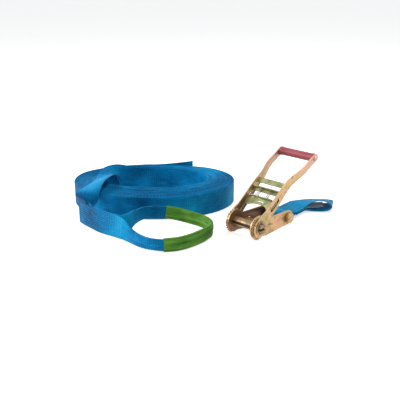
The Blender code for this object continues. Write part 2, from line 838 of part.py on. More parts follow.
def handle(place, gold, green_zinc, red):
    arms = {}
    for word, hand in (("left", -1), ("right", 1)):
        arm = piece(f"handle_arm_{word}", arm_shape(hand), gold, place)
        arms[word] = arm
        low, high = sorted((hand * (arm_inner - overrun), hand * (arm_outer + overrun)))
        cut(arm, piece(f"arm_bore_{word}", rod(low, high, spindle_hole_radius), None, place))
        half = lock_thickness / 2 + fit_gap
        slot = block(
            (low, release_ear_front - fit_gap, -half),
            (high, release_back + release_travel + fit_gap, half),
        )
        cut(arm, piece(f"arm_slot_{word}", slot, None, place))
        for bar, reach, thickness in (
            ("lower", lower_bar_reach, lower_bar_wall),
            ("upper", upper_bar_reach, upper_bar_thickness),
        ):
            y_half = tenon_depth / 2 + fit_gap
            z_half = thickness / 2 + fit_gap
            seat = block((low, reach - y_half, -z_half), (high, reach + y_half, z_half))
            cut(arm, piece(f"{bar}_seat_{word}", seat, None, place))
        low, high = sorted((hand * arm_inner, hand * (arm_outer + arm_flare + overrun)))
        bore = piece(f"grip_bolt_bore_{word}", rod(low, high, grip_bolt_radius + fit_gap, 20), None, place)
        bore.location = (0, grip_reach, -grip_drop)
        cut(arm, bore)

    inner = arm_inner - fit_gap
    lower = lower_bar_reach
    wall = lower_bar_wall / 2
    back = lower + lower_bar_depth / 2
    channel = [
        (lower - lower_bar_depth / 2, -wall),
        (back, -wall),
        (back, lower_bar_height),
        (back - lower_bar_wall, lower_bar_height),
        (back - lower_bar_wall, wall),
        (lower - lower_bar_depth / 2, wall),
    ]
    bar = piece("handle_lower_bar", side_prism(channel, -inner, inner), green_zinc, place)
    tenon = block((-arm_outer, lower - tenon_depth / 2, -wall), (arm_outer, lower + tenon_depth / 2, wall))
    cut(bar, piece("lower_tenon", tenon, None, place), "UNION")
    upper = upper_bar_reach
    half = upper_bar_thickness / 2
    flat = [
        (-inner, upper - upper_bar_depth / 2),
        (inner, upper - upper_bar_depth / 2),
        (inner, upper - tenon_depth / 2),
        (arm_outer, upper - tenon_depth / 2),
        (arm_outer, upper + tenon_depth / 2),
        (inner, upper + tenon_depth / 2),
        (inner, upper + upper_bar_depth / 2),
        (-inner, upper + upper_bar_depth / 2),
        (-inner, upper + tenon_depth / 2),
        (-arm_outer, upper + tenon_depth / 2),
        (-arm_outer, upper - tenon_depth / 2),
        (-inner, upper - tenon_depth / 2),
    ]
    piece("handle_upper_bar", plan_prism(flat, -half, half), green_zinc, place)
    grip_parts(place, gold, red)


def grip_parts(place, gold, red):
    """The moulded grip between the arms, and the bolt and nut that hold it."""
    at_grip = empty("grip_axis", (0, grip_reach, -grip_drop), parent=place)
    end = arm_inner + arm_flare - fit_gap
    bore = grip_bolt_radius + fit_gap
    profile = [
        (-end, bore),
        (-end, grip_radius - grip_edge),
        (grip_edge - end, grip_radius),
        (end - grip_edge, grip_radius),
        (end, grip_radius - grip_edge),
        (end, bore),
    ]
    piece("handle_grip", turned(profile, 28, closed=True), red, at_grip, smooth=True)
    outside = arm_outer + arm_flare + fit_gap
    head = outside + grip_bolt_head_thickness
    nut_start = -outside - grip_bolt_head_thickness
    bolt = [
        (nut_start - grip_bolt_head_thickness / 3, 0),
        (nut_start - grip_bolt_head_thickness / 3, grip_bolt_radius),
        (outside, grip_bolt_radius),
        (outside, grip_bolt_head_radius),
        (head, grip_bolt_head_radius * 0.8),
        (head, 0),
    ]
    piece("grip_bolt", turned(bolt, 20), gold, at_grip, smooth=True)
    hex_nut("grip_bolt_nut", nut_start, -outside, grip_bolt_head_radius, bore, gold, at_grip)


def strap_bolt(place, gold, dark):
    """The bolt across the base's rear end, its spacer tube and its nut."""
    outside = cheek_outer + fit_gap
    nut_end = outside + strap_bolt_nut_length
    head_end = outside + strap_bolt_head_length
    chamfer = strap_bolt_head_radius * 0.85
    bolt = [
        (-nut_end - overrun / 2, 0),
        (-nut_end - overrun / 2, strap_bolt_radius),
        (outside, strap_bolt_radius),
        (outside, strap_bolt_head_radius),
        (head_end - overrun / 4, strap_bolt_head_radius),
        (head_end, chamfer),
        (head_end, 0),
    ]
    piece("strap_bolt", turned(bolt), gold, place, smooth=True)
    bore = strap_bolt_radius + fit_gap
    hex_nut("strap_bolt_nut", -nut_end, -outside, strap_bolt_nut_radius, bore, dark, place)
    side = cheek_inner - fit_gap
    tube = [(-side, bore), (-side, spacer_radius), (side, spacer_radius), (side, bore)]
    piece("strap_spacer", turned(tube, closed=True), dark, place, smooth=True)


def strap_rows(shares):
    """Places of the short strap's eye or label about the strap bolt, each with its turn and roll."""
    length, height = strap_eye_length, strap_eye_height
    return [
        (side * length, seam_end + along * length, rise * height - bolt_height, turn, roll)
        for side, along, rise, turn, roll in shares
    ]


def strap_ribbon(rows, width, thickness):
    """A strip through rows of place, turn and roll, and its length."""
    rows = curve_through(rows, 2)
    across = []
    for turn, roll in (np.radians(row[3:]) for row in rows):
        level = Vector((math.cos(turn), -math.sin(turn), 0)) * math.cos(roll)
        across.append(level + Vector((0, 0, math.sin(roll))))
    path = [row[:3] for row in rows]
    length = sum(np.linalg.norm(b - a) for a, b in zip(path, path[1:]))
    return ribbon(path, across, width, thickness, split=True), length


def short_strap(place, blue, white):
    """The ratchet's own strap: round the spacer, three plies in the seam, and an eye turned to the right."""
    ply = webbing_thickness + ply_gap
    bottom = seam_height - bolt_height
    middle = bottom + ply
    top = middle + ply
    wrap_radius = spacer_radius + fit_gap + webbing_thickness / 2
    wrap_radius = wrap_radius / math.cos(math.pi / 24)
    front = seam_start * seam_front_share
    under = [(seam_start * y, middle - (middle + wrap_radius) * z) for y, z in strap_close_shares]
    over = [(seam_start * y, top + (wrap_radius - top) * z) for y, z in strap_close_shares]
    start = [(seam_end, middle), (front, middle), *reversed(under)]
    wrap = arc((0, 0), wrap_radius, -math.pi / 2, -3 * math.pi / 2 - strap_wrap_extra, 13)
    seam = [*over, (front, top), (seam_end, top)]
    finish = [(seam_end, bottom), (front, bottom), (seam_start * strap_close_shares[-1][0], bottom)]
    straight = [(0, y, z, 0, 0) for y, z in start + wrap + seam]
    rows = straight + strap_rows(strap_eye_shares) + [(0, y, z, 0, 0) for y, z in finish]
    shape, length = strap_ribbon(rows, webbing_width, webbing_thickness)
    piece("short_strap", shape, blue, place)
    print(f"length of the short strap: {length:.3f} m")
    shape, length = strap_ribbon(strap_rows(label_shares), label_width, label_thickness)
    piece("strap_label", shape, white, place)


def build():
    clear_scene()
    blue = material("webbing_blue", webbing_blue, 0.55, 0.0)
    green = material("sleeve_green", sleeve_green, 0.75, 0.0)
    gold = material("zinc_gold", zinc_gold, 0.32, 0.9)
    green_zinc = material("zinc_green", zinc_green, 0.35, 0.85)
    dark = material("spindle_zinc", zinc_gold, 0.40, 0.9)
    red = material("grip_red", grip_red, 0.45, 0.0)
    steel = material("spring_steel", spring_steel, 0.35, 1.0)
    white = material("label_white", label_white, 0.7, 0.0)

    main_line(empty("main_line_place", line_place, (0, 0, line_turn)), blue, green)

    axis = (0, spindle_y, spindle_height)
    base_place = empty("base_place", axis)
    base_frame(base_place, gold)
    lock_place = empty("base_lock_place", axis, (base_lock_angle, 0, 0))
    base_lock(lock_place, gold)
    spindle(empty("spindle_pivot", axis), gold, dark)
    handle_place = empty("handle_pivot", axis, (handle_rest_angle, 0, 0))
    handle(handle_place, gold, green_zinc, red)
    release_lock(handle_place, green_zinc)
    spring_front = release_back + fit_gap
    spring_back = lower_bar_reach + lower_bar_depth / 2 - lower_bar_wall - fit_gap
    rise = lower_bar_wall / 2 + fit_gap + spring_radius + spring_wire
    for word, hand in (("left", -1), ("right", 1)):
        name, side = f"release_spring_{word}", hand * spring_offset
        made = spring(name, handle_place, spring_front, spring_back, side, steel)
        made.location.z = rise
    bolt_place = empty("strap_bolt_axis", (0, spindle_y + base_length, bolt_height))
    strap_bolt(bolt_place, gold, dark)
    short_strap(bolt_place, blue, white)


build()
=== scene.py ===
"""The looks of a slackline set: blue webbing with a sleeved eye, and a zinc-plated ratchet."""

import json
import math

import bpy
import numpy as np
from mathutils import Matrix, Vector, noise


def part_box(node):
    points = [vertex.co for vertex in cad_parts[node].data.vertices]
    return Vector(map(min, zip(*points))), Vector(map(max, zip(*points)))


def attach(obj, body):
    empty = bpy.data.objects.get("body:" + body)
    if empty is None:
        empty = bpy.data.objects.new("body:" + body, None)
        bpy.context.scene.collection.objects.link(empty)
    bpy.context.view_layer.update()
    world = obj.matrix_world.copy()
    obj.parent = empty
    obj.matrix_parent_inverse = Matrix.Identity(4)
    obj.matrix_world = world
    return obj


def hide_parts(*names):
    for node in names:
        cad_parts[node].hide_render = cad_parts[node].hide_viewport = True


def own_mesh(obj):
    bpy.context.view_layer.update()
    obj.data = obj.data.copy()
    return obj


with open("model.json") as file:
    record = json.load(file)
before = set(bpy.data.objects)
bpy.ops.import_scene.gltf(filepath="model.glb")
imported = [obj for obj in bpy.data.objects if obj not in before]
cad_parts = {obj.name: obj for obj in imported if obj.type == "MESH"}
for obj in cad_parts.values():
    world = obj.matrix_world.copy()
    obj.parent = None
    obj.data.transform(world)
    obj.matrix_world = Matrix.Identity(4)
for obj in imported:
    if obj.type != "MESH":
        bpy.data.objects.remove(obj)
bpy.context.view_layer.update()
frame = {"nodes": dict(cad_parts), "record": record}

# Camera: the photograph's angle and scale
view_azimuth = math.radians(41)
view_elevation = math.radians(21)
view_distance = 1.5
view_lens = 58.2

# Webbing
webbing_width = 0.050
webbing_thickness = 0.0021
coil_outer_half_length = 0.182
coil_outer_half_depth = 0.1157
coil_band_side = 0.058
coil_band_near = 0.066
coil_band_far = 0.0285
coil_turns = 20
coil_points_per_turn = 96
coil_inner_end_angle = math.radians(100)
coil_outer_end_angle = math.radians(92)
coil_centre_x = -0.109
coil_outer_centre_y = -0.0024
tail_length = 0.092
tail_spread = 0.028
tail_steps = 40
turn_air = 0.00020
thickest_turn = 0.0032
turn_lift = 0.00055
turn_ripple = 0.0011
line_steps = 12
fold_groove = 0.45
fold_growth = 0.0023
seam_shares = [-0.86 + 0.172 * k for k in range(11)]
far_seam_rows = (24, 27)
near_seam_rows = 6

# Stitches: how far they stand off, their radii, and each seam's pitch and stitch length
stitch_lift = 0.00012
eye_stitch_radius = 0.00034
strap_stitch_radius = 0.00042
eye_seam_pitch, eye_seam_stitch = 0.0044, 0.0019
leg_pitch, leg_stitch = 0.0062, 0.0034
strap_pitch, strap_stitch = 0.0042, 0.0030

# A strip's section: shares of its half width on a face, and of half width and thickness at an edge
face_shares = (-0.955, -0.60, -0.20, 0.20, 0.60, 0.955)
edge_shares = ((0.988, 0.62), (1.0, 0.0), (0.988, -0.62))

# Places of the line, the camera's aim, the handle, the arms' slots and the strap bolt
line_place = Matrix.Translation((-0.1989, 0.0358, 0.0)) @ Matrix.Rotation(view_azimuth, 4, "Z")
view_target = Vector((-0.2031, 0.0327, 0.0))
spindle_y = -0.060
spindle_z = 0.027
handle_angle = math.radians(36)
handle_place = Matrix.Translation((0, spindle_y, spindle_z)) @ Matrix.Rotation(handle_angle, 4, "X")
slot_front = 0.0425
slot_back = 0.0745
slot_height = 0.0078
slot_depth = 0.0012
cutter_depth = 0.01
strap_bolt_y = 0.049
strap_bolt_z = 0.015

# The line from the coil's inner end, round the eye, to its own end: place, lean in degrees,
# width and thickness
lead_route = (
    (-0.1372, 0.0828, 0.0250, 0, 0.0500, 0.0012),
    (-0.1510, 0.0796, 0.0258, 0, 0.0500, 0.0019),
    (-0.1640, 0.0754, 0.0296, 1, 0.0500, 0.0021),
    (-0.1768, 0.0702, 0.0340, 5, 0.0500, 0.0021),
    (-0.1886, 0.0640, 0.0388, 12, 0.0500, 0.0021),
    (-0.1975, 0.0565, 0.0437, 22, 0.0500, 0.0021),
    (-0.2045, 0.0465, 0.0490, 40, 0.0500, 0.0021),
    (-0.2095, 0.0350, 0.0540, 60, 0.0500, 0.0021),
    (-0.2130, 0.0225, 0.0570, 80, 0.0500, 0.0021),
    (-0.2160, 0.0090, 0.0585, 96, 0.0500, 0.0021),
    (-0.2190, -0.0050, 0.0602, 106, 0.0500, 0.0021),
    (-0.2225, -0.0190, 0.0610, 111, 0.0500, 0.0021),
    (-0.2265, -0.0325, 0.0612, 113, 0.0500, 0.0021),
    (-0.2310, -0.0460, 0.0612, 113, 0.0500, 0.0021),
    (-0.2355, -0.0600, 0.0608, 111, 0.0500, 0.0021),
    (-0.2394, -0.0740, 0.0595, 106, 0.0500, 0.0021),
    (-0.2428, -0.0868, 0.0572, 97, 0.0500, 0.0021),
    (-0.2456, -0.0980, 0.0540, 83, 0.0500, 0.0021),
    (-0.2474, -0.1078, 0.0483, 62, 0.0500, 0.0021),
    (-0.2478, -0.1165, 0.0418, 36, 0.0500, 0.0021),
    (-0.2460, -0.1248, 0.0352, 13, 0.0500, 0.0021),
    (-0.2430, -0.1328, 0.0296, 3, 0.0500, 0.0021),
    (-0.2388, -0.1410, 0.0265, 0, 0.0500, 0.0021),
    (-0.2330, -0.1502, 0.0255, 0, 0.0500, 0.0021),
    (-0.2270, -0.1655, 0.0252, 0, 0.0500, 0.0021),
    (-0.2125, -0.1812, 0.0252, 0, 0.0500, 0.0021),
    (-0.1945, -0.1945, 0.0252, 0, 0.0500, 0.0021),
    (-0.1785, -0.2040, 0.0252, 0, 0.0495, 0.0021),
    (-0.1635, -0.2095, 0.0262, 0, 0.0475, 0.0022),
)
eye_route = (
    (-0.1492, -0.2035, 0.0312, 0, 0.0385, 0.0029),
    (-0.1372, -0.1880, 0.0356, 0, 0.0300, 0.0040),
    (-0.1205, -0.1680, 0.0362, 0, 0.0262, 0.0044),
    (-0.0991, -0.1548, 0.0340, 0, 0.0245, 0.0044),
    (-0.0764, -0.1489, 0.0305, 0, 0.0245, 0.0044),
    (-0.0532, -0.1496, 0.0265, 0, 0.0245, 0.0044),
    (-0.0302, -0.1547, 0.0225, 0, 0.0245, 0.0044),
    (-0.0069, -0.1636, 0.0190, 0, 0.0245, 0.0044),
    (0.0105, -0.1765, 0.0162, 0, 0.0245, 0.0044),
    (0.0172, -0.1945, 0.0150, 0, 0.0245, 0.0044),
    (0.0110, -0.2165, 0.0144, 0, 0.0245, 0.0044),
    (-0.0068, -0.2395, 0.0141, 0, 0.0245, 0.0044),
    (-0.0285, -0.2591, 0.0140, 0, 0.0245, 0.0044),
    (-0.0494, -0.2713, 0.0140, 0, 0.0245, 0.0044),
    (-0.0750, -0.2770, 0.0140, 0, 0.0245, 0.0044),
    (-0.1010, -0.2705, 0.0138, 0, 0.0245, 0.0044),
    (-0.1213, -0.2580, 0.0143, 0, 0.0266, 0.0044),
    (-0.1370, -0.2430, 0.0158, 0, 0.0305, 0.0040),
    (-0.1480, -0.2318, 0.0190, 0, 0.0385, 0.0030),
)
near_ply_route = (
    (-0.1618, -0.2205, 0.0240, 0, 0.0480, 0.0022),
    (-0.1779, -0.2083, 0.0252, 0, 0.0500, 0.0021),
    (-0.1959, -0.1966, 0.0252, 0, 0.0500, 0.0021),
    (-0.2142, -0.1831, 0.0252, 0, 0.0500, 0.0021),
    (-0.2288, -0.1672, 0.0252, 0, 0.0500, 0.0021),
    (-0.2408, -0.1547, 0.0252, 0, 0.0500, 0.0021),
    (-0.2516, -0.1424, 0.0252, 0, 0.0500, 0.0021),
    (-0.2602, -0.1305, 0.0252, 0, 0.0500, 0.0021),
)

# Sleeve: the rows of the eye that it covers, and its own sizes
sleeve_first = 4
sleeve_last = 14
sleeve_half_width = 0.0137
sleeve_half_thickness = 0.0046
sleeve_wall = 0.0009
sleeve_girth = 0.075
sleeve_steps = 20
sleeve_sides = 48
sleeve_ridge = 0.0016
sleeve_crumple = 0.0024
sleeve_crumple_reach = 0.030
sleeve_hem_pinch = 0.0003
sleeve_hem_reach = 0.006

# Short strap: its seam, measured from the strap bolt along the base, and its wrap round the spacer
seam_start = 0.035
seam_end = 0.070
seam_height = 0.0070
strap_ply = 0.0024
strap_half_ply = 0.0011
strap_seam_shares = (-0.84, -0.42, 0.0, 0.42, 0.84)
strap_wrap_radius = 0.0094
strap_close_shares = ((0.50, 0.64), (0.85, 0.22), (1.15, 0.03))
strap_wrap_extra = math.radians(14)
seam_front_share = 1.5

# Its eye, from the seam's end: shares of its length to the side and along, shares of its height
# over the floor, then its turn to the right and its roll in degrees
strap_eye_length = 0.080
strap_eye_height = 0.020
strap_eye_shares = (
    (0.000, 0.075, 0.600, 2, 1),
    (0.025, 0.175, 0.690, 9, 5),
    (0.100, 0.344, 0.790, 22, 11),
    (0.213, 0.494, 0.890, 36, 15),
    (0.356, 0.619, 0.960, 48, 17),
    (0.519, 0.719, 0.960, 57, 15),
    (0.656, 0.788, 0.800, 62, 10),
    (0.706, 0.813, 0.525, 63, 5),
    (0.650, 0.781, 0.290, 62, 2),
    (0.513, 0.706, 0.150, 57, 0),
    (0.356, 0.613, 0.100, 48, 0),
    (0.213, 0.488, 0.110, 36, 0),
    (0.100, 0.344, 0.180, 22, 0),
    (0.025, 0.175, 0.280, 8, 0),
    (0.000, 0.075, 0.335, 2, 0),
)
tab_width = 0.040
tab_thickness = 0.0008
tab_shares = (
    (0.013, 0.100, 0.440, 5, 2),
    (0.075, 0.294, 0.400, 18, 3),
    (0.188, 0.463, 0.370, 33, 4),
    (0.338, 0.600, 0.400, 46, 5),
    (0.481, 0.698, 0.490, 55, 6),
)

# Pins and springs
pin_wire_radius = 0.00048
pin_eye_radius = 0.0016
pin_eye_drop = 0.001
pin_leg_drop = 0.002
pin_leg_offset = 0.0004
pin_tip_rise = 0.004
pin_tip_length = 0.003
pin_tip_spread = 0.0022
spring_ends = (0.0663, 0.08575)
spring_height = 0.00505
spring_radius = 0.0032
spring_wire_radius = 0.00038
spring_offset = 0.012
spring_curls = 7
spring_points_per_curl = 20
spring_end_gap = 0.0009
spring_closed_curls = 0.7

# Peened ends of the bars: each bar's place along the handle and its thickness
bar_heads = (("lower", 0.084, 0.0022), ("upper", 0.108, 0.0030))
bar_head_offset = 0.0361
bar_head_depth = 0.0014
bar_head_length = 0.0084
bar_head_growth = 0.0014
bar_head_edge = 0.0005

# Grip: the collar at each end, and the step in from it
grip_collar = 0.0045
grip_step_width = 0.0006
grip_step_depth = 0.0007
grip_edge = 0.0006

# A plated face looks inward where its normal's x times its centre's x is under this limit
inward_limit = -0.012

# Plated pieces, and the width of their broken edges
gold_pieces = (
    ("base_frame", 0.0005),
    ("base_lock", 0.0003),
    ("handle_arm_left", 0.0005),
    ("handle_arm_right", 0.0005),
    ("strap_bolt", 0.0006),
    ("grip_bolt", 0.0004),
    ("grip_bolt_nut", 0.0004),
)
green_pieces = (
    ("handle_lower_bar", 0.0004),
    ("handle_upper_bar", 0.0004),
    ("release_plate", 0.0003),
)
brown_pieces = (
    ("spindle_half_upper", 0.0005),
    ("spindle_half_lower", 0.0005),
    ("strap_bolt_nut", 0.0005),
    ("strap_spacer", 0.0003),
)

# Axes of a pattern: a strip's two in its UV map, and height over the floor
across_strip, along_strip, upward = 0, 1, 2

# Where the darker ticked selvedge sets in, from the strip's middle; it is partly the woven edge
# and partly painted shade of the gaps between the coil's turns
selvedge_from_middle = (webbing_width / 2 - 0.0007, webbing_width / 2 - 0.0003)

# Colours: dark, middle and light webbing, the line's being a darker copy of the strap's as
# painted shade on the wound coil and the line; then stops along a noise
shaded_blue_shades = ((0.0005, 0.060, 0.165), (0.001, 0.200, 0.460), (0.010, 0.480, 0.850))
pale_blue_shades = ((0.001, 0.110, 0.270), (0.005, 0.270, 0.540), (0.022, 0.420, 0.740))
sleeve_stops = (
    (0.34, (0.022, 0.095, 0.008)),
    (0.50, (0.088, 0.270, 0.026)),
    (0.64, (0.240, 0.500, 0.090)),
)
thread_stops = ((0.3, (0.03, 0.30, 0.56)), (0.7, (0.14, 0.50, 0.76)))
tab_stops = ((0.3, (0.60, 0.61, 0.60)), (0.7, (0.76, 0.76, 0.74)))
grip_stops = ((0.3, (0.245, 0.030, 0.042)), (0.72, (0.400, 0.082, 0.098)))
spring_stops = ((0.3, (0.26, 0.19, 0.12)), (0.7, (0.44, 0.35, 0.24)))
gold_stops = (
    (0.36, (0.590, 0.280, 0.190)),
    (0.44, (0.680, 0.400, 0.215)),
    (0.52, (0.640, 0.425, 0.205)),
    (0.60, (0.470, 0.370, 0.165)),
    (0.70, (0.680, 0.350, 0.250)),
)
worn_stops = (
    (0.36, (0.330, 0.165, 0.105)),
    (0.45, (0.520, 0.300, 0.180)),
    (0.54, (0.300, 0.220, 0.110)),
    (0.66, (0.560, 0.310, 0.225)),
)
shadow_stops = (
    (0.30, (0.050, 0.028, 0.016)),
    (0.70, (0.110, 0.065, 0.035)),
)
green_stops = (
    (0.36, (0.370, 0.375, 0.190)),
    (0.46, (0.215, 0.250, 0.120)),
    (0.56, (0.450, 0.435, 0.240)),
    (0.68, (0.420, 0.290, 0.165)),
)
brown_stops = (
    (0.34, (0.160, 0.085, 0.050)),
    (0.47, (0.420, 0.290, 0.170)),
    (0.58, (0.240, 0.190, 0.110)),
    (0.70, (0.500, 0.310, 0.210)),
)
# Plating marks: a lighter pink on upper parts, partly painted light; dark brown painted shade on
# inward faces; brown wear; then the heights where the pink and the painted shade fade
lit_upper_pink = (0.740, 0.400, 0.345)
inward_painted_shade = (0.180, 0.085, 0.045)
rubbed_brown = (0.200, 0.105, 0.055)
pink_heights = (0.095, 0.135)
shade_heights = (0.075, 0.105)

# Studio: floor, sky, and each lamp's place, size and power
floor_colour = (0.86, 0.86, 0.86)
floor_glow = (0.62, 0.62, 0.62)
sky_colour = (0.95, 0.97, 1.0)
sky_strength = 0.28
lamp_target = Vector((-0.15, 0.0, 0.0))
lamps = (
    ("key_lamp", (-1.5, -1.6, 1.0), 0.9, 24),
    ("top_lamp", (0.2, 0.5, 2.4), 1.2, 22),
    ("side_lamp", (1.2, -1.9, 1.3), 1.0, 13),
    ("rim_lamp", (-1.62, -0.40, 0.50), 0.4, 12),
)


class Value:
    """A shader socket with arithmetic."""

    def __init__(self, socket):
        self.socket = socket

    def maths(self, operation, first, second=0.0):
        """A Math node's answer."""
        entries = {0: first, 1: second}
        return add_node(self.socket.id_data, "ShaderNodeMath", entries, operation=operation)

    def __add__(self, other):
        return self.maths("ADD", self, other)

    def __radd__(self, other):
        return self.maths("ADD", other, self)

    def __sub__(self, other):
        return self.maths("SUBTRACT", self, other)

    def __rsub__(self, other):
        return self.maths("SUBTRACT", other, self)

    def __mul__(self, other):
        return self.maths("MULTIPLY", self, other)

    def __rmul__(self, other):
        return self.maths("MULTIPLY", other, self)

    def __abs__(self):
        return self.maths("ABSOLUTE", self)

    def sine(self):
        return self.maths("SINE", self)


def plug(tree, entry, value):
    """Links a socket to an entry, or sets the entry's own value. A colour is three numbers."""
    if isinstance(value, Value):
        tree.links.new(value.socket, entry)
    elif entry.type == "RGBA":
        entry.default_value = (*value, 1.0)
    else:
        entry.default_value = value


def add_node(tree, kind, entries=(), out=0, stops=(), **settings):
    """A node of a kind: its settings, then a ramp's stops, then its sockets' values or links."""
    node = tree.nodes.new(kind)
    for name, value in settings.items():
        setattr(node, name, value)
    if stops:
        ramp = node.color_ramp.elements
        while len(ramp) < len(stops):
            ramp.new(0.5)
        for element, (place, colour) in zip(ramp, stops):
            element.position = place
            element.color = (*colour, 1.0)
    for name, value in dict(entries).items():
        plug(tree, node.inputs[name], value)
    return Value(node.outputs[out])


class Finish:
    """A material, its shader, and the nodes that feed it."""

    def __init__(self, name, **values):
        self.material = bpy.data.materials.new(name)
        self.material.use_nodes = True
        self.tree = self.material.node_tree
        self.shader = self.tree.nodes["Principled BSDF"]
        self.set(**values)

    def set(self, **values):
        """Sets or links the shader's sockets. An underscore stands for a space in a name."""
        for entry, value in values.items():
            plug(self.tree, self.shader.inputs[entry.replace("_", " ")], value)

    def node(self, kind, entries=(), **more):
        return add_node(self.tree, kind, entries, **more)

    def place(self, scale=(1, 1, 1), source="Object"):
        """Places in metres on the object or its UV map, stretched for a pattern."""
        coordinates = self.node("ShaderNodeTexCoord", out=source)
        return self.node("ShaderNodeMapping", {"Vector": coordinates, "Scale": scale})

    def noise(self, where, scale, detail, roughness=0.5):
        entries = {"Vector": where, "Scale": scale, "Detail": detail, "Roughness": roughness}
        return self.node("ShaderNodeTexNoise", entries)

    def ramp(self, factor, stops):
        return self.node("ShaderNodeValToRGB", {0: factor}, stops=stops)

    def mix(self, factor, first, second):
        entries = {0: factor, 6: first, 7: second}
        return self.node("ShaderNodeMix", entries, out=2, data_type="RGBA")

    def waves(self, where, axis, period):
        """A sine along one direction of a place in metres, from 0 to 1."""
        return (self.split(where, axis) * (2 * math.pi / period)).sine() * 0.5 + 0.5

    def split(self, where, axis):
        """One number of a place."""
        return self.node("ShaderNodeSeparateXYZ", {0: where}, out=axis)

    def between(self, value, low, high):
        """0 below one value, 1 above another, and smooth from one to the other."""
        entries = {0: value, 1: low, 2: high, 3: 0.0, 4: 1.0}
        return self.node("ShaderNodeMapRange", entries, interpolation_type="SMOOTHSTEP")

    def bump(self, height, distance, strength=1.0):
        entries = {"Height": height, "Distance": distance, "Strength": strength}
        self.set(Normal=self.node("ShaderNodeBump", entries))


def webbing_finish(name, dark, middle, light):
    """Woven strip: ribs, yarns, ticked selvedges darker partly as painted shade between turns,
    and tones that change with each turn.
    """
    made = Finish(name, Specular_IOR_Level=0.05)
    uv = made.place(source="UV")
    ribs = made.waves(uv, along_strip, period=0.0046)
    fine_ribs = made.waves(uv, along_strip, period=0.0014)
    yarns = made.waves(uv, across_strip, period=0.0031)
    turns = made.noise(made.place(scale=(0.3, 1.7, 1), source="UV"), scale=2.6, detail=3)
    slow = made.noise(made.place(), scale=13, detail=3)
    streaks = made.noise(made.place(scale=(230, 9, 1), source="UV"), scale=4, detail=3)
    mottled = made.place(scale=(1, 0.6, 1), source="UV")
    mottle = made.noise(mottled, scale=130, detail=2, roughness=0.6)
    shade = turns * 0.55 + slow * 0.60 + streaks * 0.30 + mottle * 0.14 + ribs * yarns * 0.10
    cloth = made.ramp(shade - 0.30, ((0.34, dark), (0.53, middle), (0.76, light)))
    # Darker ticked selvedges: partly woven edge, partly painted shade of the gaps between turns
    from_middle = abs(made.split(uv, across_strip) - webbing_width / 2)
    selvedge = made.between(from_middle, *selvedge_from_middle)
    ticks = made.waves(uv, along_strip, period=0.0072) * 0.5 + streaks * 0.5
    edge_ticks_and_shade = made.mix(made.between(ticks, 0.30, 0.70), dark, middle)
    made.set(Base_Color=made.mix(selvedge * 0.45, cloth, edge_ticks_and_shade), Roughness=0.34 + streaks * 0.22)
    relief = fine_ribs * 0.6 + yarns * fine_ribs * 0.5 + streaks * 0.8
    made.bump(relief, distance=0.00032, strength=0.8)
    return made.material


def sleeve_finish():
    """Thin green woven cloth, lighter on its ridges as painted light and darker in its creases
    as painted shade, from the same noise that raises them.
    """
    made = Finish("sleeve_cloth", Roughness=0.6, Specular_IOR_Level=0.15)
    uv = made.place(source="UV")
    threads = made.waves(uv, across_strip, period=0.0009)
    weave = threads * made.waves(uv, along_strip, period=0.0009)
    creased = made.place(scale=(210, 7, 1), source="UV")
    crease = made.noise(creased, scale=1.3, detail=4, roughness=0.6)
    patch = made.noise(made.place(), scale=40, detail=3)
    # The colour follows the crease relief: painted shade in creases, painted light on ridges
    made.set(Base_Color=made.ramp(crease * 0.7 + patch * 0.25 + weave * 0.08, sleeve_stops))
    made.bump(crease + weave * 0.12, distance=0.0016, strength=0.9)
    return made.material


def thread_finish():
    """Seam thread a little lighter than the webbing, with its twist."""
    made = Finish("seam_thread", Roughness=0.45, Sheen_Weight=0.2)
    twist = made.noise(made.place(), scale=900, detail=2)
    made.set(Base_Color=made.ramp(twist, thread_stops))
    made.bump(twist, distance=0.0002)
    return made.material


def tab_finish():
    """Pale grey blank cloth with a fine grid."""
    made = Finish("blank_tab", Roughness=0.6)
    uv = made.place(source="UV")
    threads = made.waves(uv, across_strip, period=0.0008)
    cloud = made.noise(made.place(), scale=60, detail=3)
    made.set(Base_Color=made.ramp(cloud, tab_stops))
    grid = threads * made.waves(uv, along_strip, period=0.0008)
    made.bump(grid, distance=0.0001, strength=0.5)
    return made.material


def zinc_finish(name, stops, inner, rough=0.27):
    """Yellow-passivated zinc plating: tan that drifts to pink and green, a lighter pink towards
    the top, partly painted light, and dark brown painted shade on the faces marked inward.

    The share inner says how much of that painted shade the faces marked inward take, most of it
    towards the bottom.
    """
    made = Finish(name, Metallic=0.82)
    where = made.place()
    drift = made.noise(where, scale=21, detail=3, roughness=0.55)
    stain = made.noise(where, scale=95, detail=4, roughness=0.6)
    grain = made.noise(made.place(scale=(1200, 45, 320)), scale=1.0, detail=2)
    height = made.split(where, upward)
    tint = made.ramp(drift * 0.86 + stain * 0.18, stops)
    # Upper parts turn a lighter pink: partly the plating's tint, partly painted light on the tops
    tint = made.mix(made.between(height, *pink_heights) * 0.80, tint, lit_upper_pink)
    # Faces marked inward take dark brown painted shade, most of it towards the bottom
    inward = made.node("ShaderNodeAttribute", out="Fac", attribute_name="inward")
    low = 1 - made.between(height + drift * 0.03, *shade_heights)
    tint = made.mix(inward * inner * (low * 0.8 + 0.2), tint, inward_painted_shade)
    worn = made.between(stain + low * 0.03, 0.54, 0.72)
    made.set(Base_Color=made.mix(worn * 0.6, tint, rubbed_brown))
    made.set(Roughness=rough + grain * 0.14 + stain * 0.12)
    made.bump(grain * 0.35 + stain * 0.65, distance=0.00016, strength=0.45)
    return made.material


def grip_finish():
    """Maroon moulded plastic, faintly orange-peeled, with lighter rubbed patches."""
    made = Finish("grip_plastic")
    cloud = made.noise(made.place(), scale=45, detail=4, roughness=0.6)
    peel = made.noise(made.place(), scale=700, detail=2)
    made.set(Base_Color=made.ramp(cloud, grip_stops), Roughness=0.36 + cloud * 0.2)
    made.bump(peel, distance=0.00015, strength=0.5)
    return made.material


